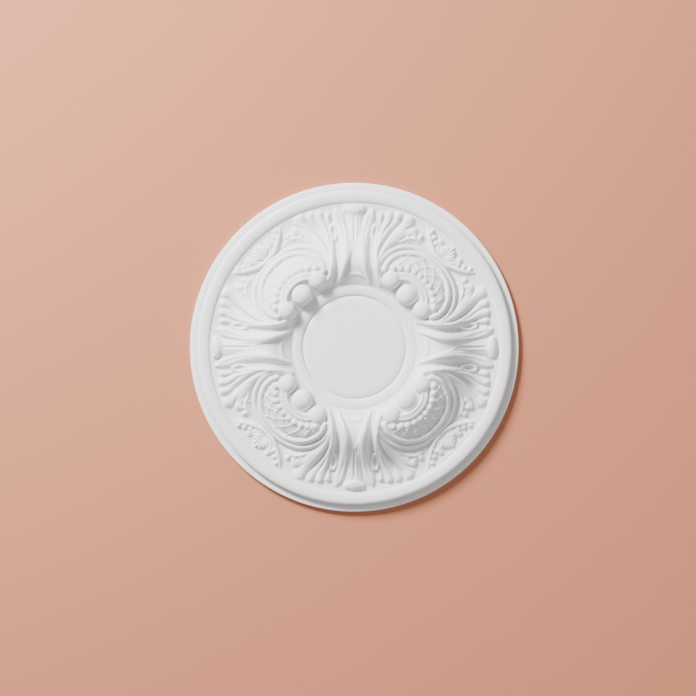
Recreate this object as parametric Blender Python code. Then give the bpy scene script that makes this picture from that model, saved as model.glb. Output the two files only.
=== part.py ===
"""Ceiling rose: one round plaster casting, carved with four acanthus fans and four beaded cartouches."""
import math

import bmesh
import bpy
import numpy as np
from mathutils import Matrix

# Driving dimensions in metres: widths inwards from the edge
DIAMETER = 0.470
STEP_WIDTH = 0.0098
WALL_WIDTH = 0.0004
RIM_ROUND_WIDTH = 0.0070
RIM_TOP_WIDTH = 0.0016
SLOPE_WIDTH = 0.0100
CREASE_WIDTH = 0.0014

# Widths outwards from the middle; the carved ring fills what lies between
DISC_RADIUS = 0.0620
DISC_ROUND_WIDTH = 0.0104
GROOVE_WIDTH = 0.0010
RING_RISE_WIDTH = 0.0100
RING_FALL_WIDTH = 0.0046

# Heights of the step and the field above the flat back, and of the rest above the field
EDGE_HEIGHT = 0.0070
EDGE_ROUND = 0.0018
QUIRK_DEPTH = 0.0006
FIELD_HEIGHT = 0.0125
ARRIS_RISE = 0.0013
CREASE_DEPTH = 0.0006
RIM_RISE = 0.0055
RIM_ROUND_DROP = 0.0050
CREST_RISE = 0.0280
DISC_RISE = 0.0163
GROOVE_DEPTH = 0.0024
RING_RISE = 0.0012
RING_FALL = 0.0010
CARVING_LIFT = 0.200

# Radii and heights that follow from them
RADIUS = DIAMETER / 2
QUIRK_RADIUS = RADIUS - STEP_WIDTH
WALL_RADIUS = QUIRK_RADIUS - WALL_WIDTH
RIM_OUT = WALL_RADIUS - RIM_ROUND_WIDTH
RIM_IN = RIM_OUT - RIM_TOP_WIDTH
SLOPE_START = RIM_IN - SLOPE_WIDTH
FIELD_RADIUS = SLOPE_START - CREASE_WIDTH
DISC_EDGE = DISC_RADIUS + DISC_ROUND_WIDTH
RING_START = DISC_EDGE + GROOVE_WIDTH
RING_RADIUS = RING_START + RING_RISE_WIDTH
FOOT_RADIUS = RING_RADIUS + RING_FALL_WIDTH
CREST_HEIGHT = FIELD_HEIGHT + CREST_RISE
ARRIS_HEIGHT = FIELD_HEIGHT + ARRIS_RISE
CREASE_HEIGHT = ARRIS_HEIGHT - CREASE_DEPTH
RIM_HEIGHT = FIELD_HEIGHT + RIM_RISE
WALL_HEIGHT = RIM_HEIGHT - RIM_ROUND_DROP
DISC_HEIGHT = FIELD_HEIGHT + DISC_RISE
GROOVE_HEIGHT = DISC_HEIGHT - GROOVE_DEPTH
RING_HEIGHT = DISC_HEIGHT + RING_RISE
FOOT_HEIGHT = RING_HEIGHT - RING_FALL

# The drawing of the carving, in shares of the rose's radius
PLAN_FOOT = 0.3745
PLAN_CREST = 0.500
PLAN_DISH = 0.780
PLAN_RISE = 0.835
PLAN_FIELD = 0.8715
FOOT_SWEEP = 1.6
REPEAT = 4
SOFTNESS = 0.004
EDGE_BLEND = 0.012

# Fineness of the mesh
SEGMENTS = 72
FINE_STEPS = 8
FINE_RINGS = 90
TRIANGLES = 9900
CURVE_STEPS = 8

# Surface
PLASTER_COLOUR = (0.83, 0.83, 0.82, 1.0)
PLASTER_ROUGHNESS = 0.62
SHARP_ANGLE = math.radians(38)


# Sections across a carved stroke, from one edge (-1) to the other (1)
def ease(value):
    value = np.clip(value, 0, 1)
    return value * value * (3 - 2 * value)


def dome(across):
    return np.sqrt(np.clip(1 - across * across, 0, 1))


def swell(across):
    return np.clip(1 - across * across, 0, 1)


def soft(across):
    return swell(across) ** 2


def crease(across):
    return np.clip(1 - np.abs(across), 0, 1) ** 1.4


def roll(across):
    return ease((1 - np.abs(across)) / 0.5)


def channel(across):
    side = np.abs(across)
    return ease((1 - side) / 0.30) * (0.74 + 0.26 * np.clip(side / 0.78, 0, 1) ** 3)


def curve(points):
    """A smooth line through a few chosen points."""
    given = np.array(points, float)
    padded = np.vstack([2 * given[0] - given[1], given, 2 * given[-1] - given[-2]])
    line = []
    for index in range(1, len(padded) - 2):
        before, start, end, after = padded[index - 1:index + 3]
        for step in range(CURVE_STEPS):
            t = step / CURVE_STEPS
            line.append(0.5 * (2 * start + (end - before) * t
                               + (2 * before - 5 * start + 4 * end - after) * t ** 2
                               + (3 * start - before - 3 * end + after) * t ** 3))
    line.append(given[-1])
    return np.array(line)


def ground(plan_radius):
    """Height in metres of the swelling ground under the ornament, dished up to the arris at its edge."""
    outer = ease((PLAN_DISH - plan_radius) / (PLAN_DISH - PLAN_CREST))
    inner = np.clip((PLAN_CREST - plan_radius) / (PLAN_CREST - PLAN_FOOT), 0, 1) ** FOOT_SWEEP
    rise = np.clip((plan_radius - PLAN_RISE) / (PLAN_FIELD - PLAN_RISE), 0, 1) ** 2
    return np.where(plan_radius > PLAN_CREST,
                    FIELD_HEIGHT + (CREST_HEIGHT - FIELD_HEIGHT) * outer + ARRIS_RISE * rise,
                    CREST_HEIGHT - (CREST_HEIGHT - FOOT_HEIGHT) * inner)


class Carving:
    """Heights over one eighth of the rose, seen from a fan's axis and from a cartouche's axis."""

    def __init__(self, plan_radius, angle):
        half = math.pi / REPEAT
        self.fan = np.stack([plan_radius * np.sin(angle), plan_radius * np.cos(angle)], -1)
        self.cartouche = np.stack([plan_radius * np.sin(half - angle),
                                   plan_radius * np.cos(half - angle)], -1)
        self.ground = ground(plan_radius)
        self.height = self.ground.copy()

    def near(self, plan, line, width):
        """Points beside a line: their index, place along it and signed distance from it."""
        inside = ((plan >= line.min(0) - width) & (plan <= line.max(0) + width)).all(-1)
        index = np.nonzero(inside)[0]
        start = line[:-1]
        run = line[1:] - start
        offset = plan[index][:, None, :] - start[None]
        along = np.clip((offset * run).sum(-1) / ((run * run).sum(-1) + 1e-12), 0, 1)
        offset = offset - along[..., None] * run
        distance = (offset * offset).sum(-1)
        best = distance.argmin(1)
        row = np.arange(len(index))
        chosen = offset[row, best]
        side = np.sign(run[best, 0] * chosen[:, 1] - run[best, 1] * chosen[:, 0])
        return index, best + along[row, best], side * np.sqrt(distance[row, best])

    def stroke(self, plan, points, section, how="lay", blend=SOFTNESS):
        """Carve along a line of (x, y, half width, rise): lay on the ground, add, cut to it or sink below."""
        line = curve(points)
        width = np.maximum(line[:, 2], 1e-4)
        index, along, distance = self.near(plan, line[:, :2], width.max())
        knots = np.arange(len(line))
        across = distance / np.interp(along, knots, width)
        rise = np.interp(along, knots, line[:, 3]) * CARVING_LIFT
        inside = np.abs(across) < 1
        index, across, rise = index[inside], across[inside], rise[inside]
        shaped = rise * section(across)
        if how == "cut":
            floor = np.minimum(self.ground[index], self.height[index])
            self.height[index] = np.maximum(self.height[index] - shaped, floor)
        elif how == "sink":
            self.height[index] -= shaped
        elif how == "add":
            self.height[index] += shaped
        else:
            self.lay(index, self.ground[index] + shaped, blend * CARVING_LIFT)

    def lay(self, index, new, blend):
        """Keep the higher of the old and new heights, eased together where they meet."""
        old = self.height[index]
        share = np.clip(0.5 + 0.5 * (new - old) / blend, 0, 1)
        self.height[index] = old * (1 - share) + new * share + blend * share * (1 - share) * 0.5

    def ball(self, plan, x, y, radius, rise, seat):
        """A rounded boss whose seat lies above the ground at its middle."""
        share = ((plan[:, 0] - x) ** 2 + (plan[:, 1] - y) ** 2) / radius ** 2
        index = np.nonzero(share < 1)[0]
        middle = ground(np.array([math.hypot(x, y)]))[0]
        new = middle + (seat + rise * np.sqrt(1 - share[index])) * CARVING_LIFT
        self.height[index] = np.maximum(self.height[index], new)


# Acanthus fan, drawn with its midrib upright: x sideways, y outward from the middle
# A stroke runs through a few places, each with its x, y, half width and rise
LOBES = (
    ((0.150, 0.520, 0.016, 0.024), (0.164, 0.570, 0.028, 0.032), (0.200, 0.626, 0.041, 0.036),
     (0.246, 0.668, 0.052, 0.034), (0.292, 0.702, 0.060, 0.030), (0.322, 0.726, 0.060, 0.024)),
    ((0.156, 0.378, 0.018, 0.016), (0.138, 0.450, 0.027, 0.034), (0.136, 0.540, 0.036, 0.040),
     (0.150, 0.620, 0.042, 0.039), (0.174, 0.690, 0.048, 0.035), (0.200, 0.740, 0.052, 0.029),
     (0.218, 0.775, 0.048, 0.022)),
    ((0.092, 0.395, 0.014, 0.014), (0.068, 0.460, 0.027, 0.034), (0.052, 0.540, 0.040, 0.043),
     (0.050, 0.640, 0.048, 0.041), (0.064, 0.710, 0.050, 0.036), (0.082, 0.760, 0.048, 0.031),
     (0.098, 0.800, 0.037, 0.026), (0.110, 0.829, 0.014, 0.018)),
    ((0, 0.600, 0.020, 0.030), (0, 0.680, 0.044, 0.038), (0, 0.750, 0.062, 0.037), (0, 0.800, 0.066, 0.030)),
)
PETAL_EDGE = ((0.074, 0.732, 0.044, 0.020), (0.088, 0.776, 0.043, 0.022), (0.101, 0.808, 0.033, 0.021),
              (0.112, 0.836, 0.011, 0.018))
TIPS = (
    (0.160, 0.790, 0.016, 2), (0.194, 0.793, 0.023, 8), (0.239, 0.789, 0.027, 16), (0.277, 0.782, 0.016, 26),
    (0.328, 0.764, 0.042, 34), (0.354, 0.700, 0.036, 62),
)
TIP_LENGTH = 0.070
TIP_EDGE = 0.021
TIP_CROWN = 0.028
TIP_ROOT = 0.7
ROOT_RISE = 0.5
FURROWS = (
    ((0, 0.590, 0.008, 0.004), (0, 0.650, 0.011, 0.026), (0, 0.730, 0.010, 0.022), (0, 0.800, 0.008, 0.014)),
    ((0.128, 0.400, 0.014, 0.014), (0.110, 0.460, 0.021, 0.042), (0.102, 0.550, 0.023, 0.054),
     (0.107, 0.630, 0.020, 0.042), (0.116, 0.672, 0.015, 0.024)),
    ((0.142, 0.530, 0.010, 0.008), (0.160, 0.600, 0.016, 0.032), (0.202, 0.668, 0.018, 0.034),
     (0.252, 0.722, 0.016, 0.030), (0.292, 0.772, 0.012, 0.026), (0.302, 0.812, 0.010, 0.028)),
    ((0.034, 0.590, 0.007, 0.003), (0.040, 0.680, 0.011, 0.012), (0.050, 0.750, 0.011, 0.011),
     (0.058, 0.800, 0.008, 0.006)),
    ((0.018, 0.640, 0.006, 0.002), (0.022, 0.720, 0.008, 0.007), (0.028, 0.790, 0.007, 0.004)),
    ((0.052, 0.620, 0.006, 0.002), (0.062, 0.690, 0.010, 0.010), (0.080, 0.750, 0.011, 0.012),
     (0.100, 0.806, 0.008, 0.007)),
    ((0.130, 0.775, 0.006, 0.004), (0.139, 0.800, 0.008, 0.020), (0.145, 0.840, 0.009, 0.030)),
    ((0.140, 0.610, 0.007, 0.006), (0.146, 0.680, 0.010, 0.016), (0.156, 0.730, 0.010, 0.014),
     (0.166, 0.775, 0.008, 0.010)),
    ((0.166, 0.765, 0.006, 0.004), (0.172, 0.790, 0.007, 0.016), (0.175, 0.830, 0.008, 0.032)),
    ((0.158, 0.640, 0.007, 0.004), (0.180, 0.700, 0.011, 0.016), (0.206, 0.745, 0.011, 0.022),
     (0.216, 0.785, 0.008, 0.026), (0.218, 0.830, 0.009, 0.034)),
    ((0.250, 0.758, 0.006, 0.004), (0.258, 0.785, 0.008, 0.022), (0.262, 0.824, 0.009, 0.032)),
    ((0.300, 0.702, 0.007, 0.004), (0.334, 0.724, 0.012, 0.024), (0.384, 0.738, 0.012, 0.034)),
    ((0.290, 0.652, 0.010, 0.010), (0.322, 0.662, 0.016, 0.030), (0.360, 0.672, 0.013, 0.032)),
)
FACET_APEX = 0.620
FACET_SPREAD = 0.36
FACET_RISE = 0.030
LIP = ((0.006, 0.616, 0.010, 0.030), (0.032, 0.548, 0.014, 0.031), (0.056, 0.480, 0.014, 0.028),
       (0.084, 0.418, 0.012, 0.018), (0.100, 0.386, 0.010, 0.006))
SHELF = ((0, 0.440, 0.016, 0.008), (0.034, 0.434, 0.016, 0.008), (0.062, 0.418, 0.012, 0.005))
KNOB = ((0, 0.834, 0.030, 0.040), (0.022, 0.834, 0.029, 0.038), (0.042, 0.830, 0.022, 0.030))
EYE = (0.134, 0.714, 8)
EYE_LENGTH = 0.034
EYE_WIDTH = 0.021
EYE_LIP = ((0.8, 0.036), (1.3, 0.038), (1.1, 0.036))
EYE_PIT = ((0.4, 0.036), (0.95, 0.060), (0.5, 0.036))


def fan(carving):
    plan = carving.fan
    for points in LOBES:
        carving.stroke(plan, points, swell)
    carving.stroke(plan, PETAL_EDGE, roll)
    for x, y, width, bearing in TIPS:
        tip(carving, plan, x, y, bearing, TIP_LENGTH, width, TIP_CROWN, TIP_EDGE)
    for points in FURROWS:
        carving.stroke(plan, points, crease, "cut")
    facet(carving)
    carving.stroke(plan, LIP, swell)
    carving.stroke(plan, SHELF, soft, "add")
    eye(carving, plan, *EYE)
    carving.stroke(plan, KNOB, dome)


def tip(carving, plan, x, y, bearing, length, width, crown_rise, edge_rise=0):
    """A rounded leaf tip that ends at a place, its bearing in degrees from the outward direction."""
    turn = math.radians(bearing)
    root = (x - length * math.sin(turn), y - length * math.cos(turn), width * TIP_ROOT)
    if edge_rise:
        carving.stroke(plan, ((*root, edge_rise * ROOT_RISE), (x, y, width, edge_rise)), roll)
    carving.stroke(plan, ((*root, crown_rise * ROOT_RISE), (x, y, width, crown_rise)), swell)


def facet(carving):
    """The three-sided recess at the fan's foot, deepest at the plain ring and level with the leaf above."""
    plan = carving.fan
    below = FACET_APEX - plan[:, 1]
    inside = (below > 0) & (plan[:, 0] < below * FACET_SPREAD)
    share = np.clip(1 - below[inside] / (FACET_APEX - PLAN_FOOT), 0, 1)
    carving.height[inside] = carving.ground[inside] + FACET_RISE * CARVING_LIFT * share ** 2


def eye(carving, plan, x, y, lean):
    """The rolled eye where two leaflets part: a raised lip round a narrow pit."""
    turn = math.radians(lean)
    step_x = EYE_LENGTH * math.sin(turn)
    step_y = EYE_LENGTH * math.cos(turn)
    ends = ((x - step_x, y - step_y), (x, y), (x + step_x, y + step_y))
    lip = [(*end, EYE_WIDTH * size, rise * size) for end, (size, rise) in zip(ends, EYE_LIP)]
    pit = [(*end, EYE_WIDTH * size, depth * size) for end, (size, depth) in zip(ends, EYE_PIT)]
    carving.stroke(plan, lip, swell)
    carving.stroke(plan, pit, soft, "cut")


# Cartouche, drawn with its axis upright
FRAME = ((0, 0.699), (0.075, 0.689), (0.140, 0.660), (0.190, 0.610), (0.217, 0.550), (0.218, 0.495),
         (0.200, 0.452))
FRAME_WIDTH = 0.018
FRAME_RISE = 0.034
BORDER = ((0, 0.723), (0.085, 0.715), (0.162, 0.686), (0.222, 0.634), (0.256, 0.562), (0.259, 0.500),
          (0.238, 0.444), (0.194, 0.406), (0.140, 0.392), (0.096, 0.404))
BORDER_WIDTH = 0.013
BORDER_RISE = 0.026
HOLLOWS = ((0.90, 0.011, 0.010), (1.20, 0.013, 0.008))
ARCH = ((0, 0.535), (0.050, 0.528), (0.092, 0.504), (0.118, 0.468))
ARCH_WIDTH = 0.024
ARCH_RISE = 0.036
PANEL = ((0, 0.610, 0.105, 0.026), (0.080, 0.600, 0.100, 0.026), (0.150, 0.556, 0.080, 0.028),
         (0.180, 0.500, 0.050, 0.024))
BALL_PLACE = 0.446
BEAD_ARCH = ((0, 0.580), (0.042, 0.576), (0.084, 0.563), (0.124, 0.541), (0.158, 0.512), (0.182, 0.482))
BEADS = 5
BEAD_SIZE = (0.0200, 0.016, 0.022)
MIDDLE_BALL = (0, BALL_PLACE, 0.064, 0.054, 0.006)
SIDE_BALL = (0.130, BALL_PLACE, 0.055, 0.044, 0.012)


def cartouche(carving):
    plan = carving.cartouche
    carving.stroke(plan, PANEL, swell)
    for outward, width, depth in HOLLOWS:
        hollow = [(x * outward, BALL_PLACE + (y - BALL_PLACE) * outward, width, depth) for x, y in FRAME]
        carving.stroke(plan, hollow, soft, "sink")
    carving.stroke(plan, [(x, y, BORDER_WIDTH, BORDER_RISE) for x, y in BORDER], dome)
    carving.stroke(plan, [(x, y, FRAME_WIDTH, FRAME_RISE) for x, y in FRAME], dome)
    carving.stroke(plan, [(x, y, ARCH_WIDTH, ARCH_RISE) for x, y in ARCH], channel)
    beads(carving, plan)
    carving.ball(plan, *MIDDLE_BALL)
    carving.ball(plan, *SIDE_BALL)


def beads(carving, plan):
    line = curve([(x, y, 0, 0) for x, y in BEAD_ARCH])[:, :2]
    travelled = np.concatenate([[0], np.cumsum(np.hypot(*np.diff(line, axis=0).T))])
    for index in range(BEADS):
        place = travelled[-1] * (index + 0.5) / BEADS
        x = np.interp(place, travelled, line[:, 0])
        y = np.interp(place, travelled, line[:, 1])
        carving.ball(plan, x, y, *BEAD_SIZE)


# Crown of the cartouche: a ribbed shell between two leafy scrolls
CROWN_BASE = 0.752
CROWN_ARM = ((0, 0.746, 0.012, 0.018), (0.050, 0.750, 0.014, 0.024), (0.100, 0.768, 0.015, 0.026),
             (0.150, 0.796, 0.014, 0.024), (0.194, 0.830, 0.009, 0.014))
SHELL_RIBS = 4
SHELL_TURN = math.radians(15)
SHELL_LENGTH = 0.096
SHELL_SHORTER = 0.009
SHELL_RIB = ((0.22, 0.006, 0.014), (0.60, 0.010, 0.026), (0.96, 0.013, 0.024))
CROWN_LEAF = ((0.034, 0.764, 0.012, 0.016), (0.062, 0.792, 0.024, 0.023), (0.080, 0.822, 0.022, 0.022))
CROWN_LEAF_RIB = ((0.040, 0.768, 0.005, 0.004), (0.062, 0.796, 0.007, 0.012), (0.076, 0.830, 0.006, 0.012))
ARM_LEAFLETS = ((0.094, 0.800, -4), (0.128, 0.814, 0), (0.162, 0.832, 4))
ARM_LEAFLET_SIZE = (0.036, 0.018, 0.026)
SIDE_LEAF = ((0.256, 0.640, 0.008, 0.014), (0.236, 0.688, 0.017, 0.026), (0.208, 0.720, 0.020, 0.027),
             (0.178, 0.736, 0.014, 0.020), (0.156, 0.740, 0.008, 0.012))
SIDE_RIB = ((0.242, 0.664, 0.005, 0.004), (0.214, 0.704, 0.007, 0.010), (0.180, 0.728, 0.005, 0.005))
SIDE_LEAFLETS = ((0.250, 0.706, 54), (0.222, 0.740, 34), (0.188, 0.758, 12))
SIDE_LEAFLET_SIZE = (0.034, 0.021, 0.026)


def crown(carving):
    plan = carving.cartouche
    carving.stroke(plan, CROWN_ARM, dome)
    carving.stroke(plan, CROWN_LEAF, swell)
    carving.stroke(plan, CROWN_LEAF_RIB, crease, "cut")
    for index in range(SHELL_RIBS):
        turn = index * SHELL_TURN
        length = SHELL_LENGTH - SHELL_SHORTER * index
        rib = [(math.sin(turn) * length * share, CROWN_BASE + math.cos(turn) * length * share, width, rise)
               for share, width, rise in SHELL_RIB]
        carving.stroke(plan, rib, swell)
    for x, y, bearing in ARM_LEAFLETS:
        tip(carving, plan, x, y, bearing, *ARM_LEAFLET_SIZE)
    carving.stroke(plan, SIDE_LEAF, swell)
    for x, y, bearing in SIDE_LEAFLETS:
        tip(carving, plan, x, y, bearing, *SIDE_LEAFLET_SIZE)
    carving.stroke(plan, SIDE_RIB, soft, "cut")


def carved_heights(radius, angle):
    """Heights in metres at the given radii and angles of the carved ring."""
    share = (radius - FOOT_RADIUS) / (FIELD_RADIUS - FOOT_RADIUS)
    plan_radius = PLAN_FOOT + share * (PLAN_FIELD - PLAN_FOOT)
    sector = 2 * math.pi / REPEAT
    folded = np.mod(angle, sector)
    folded = np.minimum(folded, sector - folded)
    carving = Carving(plan_radius, folded)
    fan(carving)
    cartouche(carving)
    crown(carving)
    hold = ease((plan_radius - PLAN_FOOT) / EDGE_BLEND) * ease((PLAN_FIELD - plan_radius) / EDGE_BLEND)
    return carving.ground + (carving.height - carving.ground) * hold


# Building the mesh
def arc(middle_radius, middle_height, wide, high, start, end, steps):
    """Points on an elliptical bead or round of the turned section, angles in degrees."""
    points = []
    for step in range(steps + 1):
        turn = math.radians(start + (end - start) * step / steps)
        points.append((middle_radius + wide * math.cos(turn), middle_height + high * math.sin(turn)))
    return points


def inner_section():
    """Turned section from the middle of the disc out to the ring's foot."""
    section = arc(DISC_RADIUS, GROOVE_HEIGHT, DISC_ROUND_WIDTH, GROOVE_DEPTH, 90, 0, 3)
    section += arc(RING_RADIUS, GROOVE_HEIGHT, RING_RISE_WIDTH, RING_HEIGHT - GROOVE_HEIGHT, 180, 90, 4)
    section += arc(RING_RADIUS, FOOT_HEIGHT, RING_FALL_WIDTH, RING_FALL, 60, 20, 1)
    return section


def outer_section():
    """Turned section from the crease over the rim to the edge and down to the back."""
    section = [(FIELD_RADIUS + CREASE_WIDTH / 2, ARRIS_HEIGHT - CREASE_DEPTH / 2)]
    section += arc(RIM_IN, CREASE_HEIGHT, SLOPE_WIDTH, RIM_HEIGHT - CREASE_HEIGHT, 180, 90, 4)
    section += arc(RIM_OUT, WALL_HEIGHT, RIM_ROUND_WIDTH, RIM_ROUND_DROP, 90, 0, 3)
    section.append((QUIRK_RADIUS, EDGE_HEIGHT - QUIRK_DEPTH))
    section.append((QUIRK_RADIUS + QUIRK_DEPTH, EDGE_HEIGHT))
    section += arc(RADIUS - EDGE_ROUND, EDGE_HEIGHT - EDGE_ROUND, EDGE_ROUND, EDGE_ROUND, 90, 0, 2)
    section.append((RADIUS, 0))
    return section


def circle_points(radius, height, count):
    angles = np.arange(count) * (2 * math.pi / count)
    return [(radius * math.sin(angle), radius * math.cos(angle), height) for angle in angles]


class Shell:
    """Vertices and faces of the casting, built ring by ring from the middle outwards."""

    def __init__(self):
        self.points = []
        self.faces = []

    def ring(self, points):
        start = len(self.points)
        self.points.extend(points)
        return list(range(start, start + len(points)))

    def cap(self, ring, middle, outward):
        centre = len(self.points)
        self.points.append(middle)
        for index, here in enumerate(ring):
            after = ring[(index + 1) % len(ring)]
            self.faces.append((centre, after, here) if outward else (centre, here, after))

    def band(self, inner, outer):
        count = len(inner)
        for index in range(count):
            after = (index + 1) % count
            self.faces.append((inner[index], inner[after], outer[after], outer[index]))

    def widen(self, coarse, fine, fine_outside):
        """Join a coarse ring to a finer one."""
        steps = len(fine) // len(coarse)
        half = steps // 2
        for index, here in enumerate(coarse):
            after = coarse[(index + 1) % len(coarse)]
            run = [fine[(index * steps + step) % len(fine)] for step in range(steps + 1)]
            faces = [(here, run[step], run[step + 1]) for step in range(half)]
            faces.append((here, run[half], after))
            faces += [(after, run[step], run[step + 1]) for step in range(half, steps)]
            self.faces += [face[::-1] for face in faces] if fine_outside else faces


def casting():
    shell = Shell()
    section = inner_section()
    ring = shell.ring(circle_points(*section[0], SEGMENTS))
    shell.cap(ring, (0, 0, DISC_HEIGHT), True)
    for radius, height in section[1:]:
        outer = shell.ring(circle_points(radius, height, SEGMENTS))
        shell.band(ring, outer)
        ring = outer
    turned_inner = len(shell.points)
    fine = SEGMENTS * FINE_STEPS
    angles = np.arange(fine) * (2 * math.pi / fine)
    radii = np.linspace(FOOT_RADIUS, FIELD_RADIUS, FINE_RINGS)
    heights = carved_heights(np.repeat(radii, fine), np.tile(angles, FINE_RINGS))
    heights = heights.reshape(FINE_RINGS, fine)
    carved = None
    for radius, row in zip(radii, heights):
        points = [(radius * math.sin(angle), radius * math.cos(angle), height)
                  for angle, height in zip(angles, row)]
        outer = shell.ring(points)
        if carved is None:
            shell.widen(ring, outer, True)
        else:
            shell.band(carved, outer)
        carved = outer
    turned_outer = len(shell.points)
    section = outer_section()
    ring = shell.ring(circle_points(*section[0], SEGMENTS))
    shell.widen(ring, carved, False)
    for radius, height in section[1:]:
        outer = shell.ring(circle_points(radius, height, SEGMENTS))
        shell.band(ring, outer)
        ring = outer
    shell.cap(ring, (0, 0, 0), False)
    return shell, range(turned_inner, turned_outer)


def plaster():
    material = bpy.data.materials.new("white_plaster")
    material.use_nodes = True
    shader = material.node_tree.nodes["Principled BSDF"]
    shader.inputs["Base Color"].default_value = PLASTER_COLOUR
    shader.inputs["Roughness"].default_value = PLASTER_ROUGHNESS
    shader.inputs["Metallic"].default_value = 0.0
    material.diffuse_color = PLASTER_COLOUR
    return material


def build():
    for existing in list(bpy.data.objects):
        bpy.data.objects.remove(existing, do_unlink=True)
    shell, carved = casting()
    mesh = bpy.data.meshes.new("ceiling_rose")
    mesh.from_pydata(shell.points, [], shell.faces)
    rose = bpy.data.objects.new("ceiling_rose", mesh)
    bpy.context.collection.objects.link(rose)
    group = rose.vertex_groups.new(name="carved")
    group.add(list(carved), 1.0, "REPLACE")
    triangles = sum(len(face) - 2 for face in shell.faces)
    thin = rose.modifiers.new("thin", "DECIMATE")
    thin.ratio = TRIANGLES / triangles
    thin.vertex_group = "carved"
    thin.use_collapse_triangulate = True
    bpy.context.view_layer.objects.active = rose
    rose.select_set(True)
    bpy.ops.object.modifier_apply(modifier="thin")
    rose.vertex_groups.clear()
    mesh = rose.data
    mesh.transform(Matrix.Rotation(math.pi / 2, 4, "X"))
    body = bmesh.new()
    body.from_mesh(mesh)
    bmesh.ops.recalc_face_normals(body, faces=body.faces)
    body.to_mesh(mesh)
    body.free()
    mesh.materials.append(plaster())
    mesh.polygons.foreach_set("use_smooth", [True] * len(mesh.polygons))
    mesh.set_sharp_from_angle(angle=SHARP_ANGLE)
    mesh.update()


build()
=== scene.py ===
"""A white painted plaster ceiling rose, fixed flat on a pale surface in soft light."""
import math

import bpy
import numpy as np
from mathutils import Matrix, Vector


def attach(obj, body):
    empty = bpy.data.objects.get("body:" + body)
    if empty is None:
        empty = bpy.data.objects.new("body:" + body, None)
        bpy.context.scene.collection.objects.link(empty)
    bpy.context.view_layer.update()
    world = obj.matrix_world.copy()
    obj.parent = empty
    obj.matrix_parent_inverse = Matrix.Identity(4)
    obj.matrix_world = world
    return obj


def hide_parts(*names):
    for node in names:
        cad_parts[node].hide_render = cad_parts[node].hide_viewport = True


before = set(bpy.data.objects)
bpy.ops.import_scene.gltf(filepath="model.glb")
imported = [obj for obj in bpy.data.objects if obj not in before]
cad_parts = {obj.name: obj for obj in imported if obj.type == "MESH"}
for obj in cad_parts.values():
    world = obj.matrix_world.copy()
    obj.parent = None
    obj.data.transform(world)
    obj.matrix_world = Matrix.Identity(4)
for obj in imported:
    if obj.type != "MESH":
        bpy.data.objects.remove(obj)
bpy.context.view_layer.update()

# Driving dimensions in metres: widths inwards from the edge
DIAMETER = 0.470
STEP_WIDTH = 0.0098
WALL_WIDTH = 0.0004
RIM_ROUND_WIDTH = 0.0070
RIM_TOP_WIDTH = 0.0016
SLOPE_WIDTH = 0.0100
CREASE_WIDTH = 0.0014

# Widths outwards from the middle; the carved ring fills what lies between
DISC_RADIUS = 0.0620
DISC_ROUND_WIDTH = 0.0104
GROOVE_WIDTH = 0.0010
RING_RISE_WIDTH = 0.0100
RING_FALL_WIDTH = 0.0046

# Heights of the step and the field above the flat back, and of the rest above the field
EDGE_HEIGHT = 0.0070
EDGE_ROUND = 0.0018
QUIRK_DEPTH = 0.0006
FIELD_HEIGHT = 0.0125
ARRIS_RISE = 0.0013
CREASE_DEPTH = 0.0006
RIM_RISE = 0.0055
RIM_ROUND_DROP = 0.0050
CREST_RISE = 0.0280
DISC_RISE = 0.0163
GROOVE_DEPTH = 0.0024
RING_RISE = 0.0012
RING_FALL = 0.0010
CARVING_LIFT = 0.200

# Radii and heights that follow from them
RADIUS = DIAMETER / 2
QUIRK_RADIUS = RADIUS - STEP_WIDTH
WALL_RADIUS = QUIRK_RADIUS - WALL_WIDTH
RIM_OUT = WALL_RADIUS - RIM_ROUND_WIDTH
RIM_IN = RIM_OUT - RIM_TOP_WIDTH
SLOPE_START = RIM_IN - SLOPE_WIDTH
FIELD_RADIUS = SLOPE_START - CREASE_WIDTH
DISC_EDGE = DISC_RADIUS + DISC_ROUND_WIDTH
RING_START = DISC_EDGE + GROOVE_WIDTH
RING_RADIUS = RING_START + RING_RISE_WIDTH
FOOT_RADIUS = RING_RADIUS + RING_FALL_WIDTH
CREST_HEIGHT = FIELD_HEIGHT + CREST_RISE
ARRIS_HEIGHT = FIELD_HEIGHT + ARRIS_RISE
CREASE_HEIGHT = ARRIS_HEIGHT - CREASE_DEPTH
RIM_HEIGHT = FIELD_HEIGHT + RIM_RISE
WALL_HEIGHT = RIM_HEIGHT - RIM_ROUND_DROP
DISC_HEIGHT = FIELD_HEIGHT + DISC_RISE
GROOVE_HEIGHT = DISC_HEIGHT - GROOVE_DEPTH
RING_HEIGHT = DISC_HEIGHT + RING_RISE
FOOT_HEIGHT = RING_HEIGHT - RING_FALL

# The drawing of the carving, in shares of the rose's radius
PLAN_FOOT = 0.3745
PLAN_CREST = 0.500
PLAN_DISH = 0.780
PLAN_RISE = 0.835
PLAN_FIELD = 0.8715
FOOT_SWEEP = 1.6
REPEAT = 4
SOFTNESS = 0.004
EDGE_BLEND = 0.012
THINNEST = 1e-4

# Fineness of the meshes
TURNED_SIDES = 360
CURVE_STEPS = 8
CARVED_COLUMNS = 1440
CARVED_RINGS = 211
CARVED_FACES = 140000
SOFTENING_PASSES = 3
PIT_PASSES = 90
PROFILE_STEPS = 427
RECESS_DEPTH = 0.0030
ROUND_STEPS = 12
RIM_STEPS = 10
EDGE_STEPS = 5
FALL_STEPS = 4
MERGE = 1e-6
LOOP_SLACK = 1e-5
TINY = 1e-12
SHARP_ANGLE = math.radians(60)


# Sections across a carved stroke, from one edge (-1) to the other (1)
CREASE_SHARPNESS = 1.4
ROLL_EDGE = 0.5
CHANNEL_EDGE = 0.30
CHANNEL_FLOOR = 0.74
CHANNEL_REACH = 0.78


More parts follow.
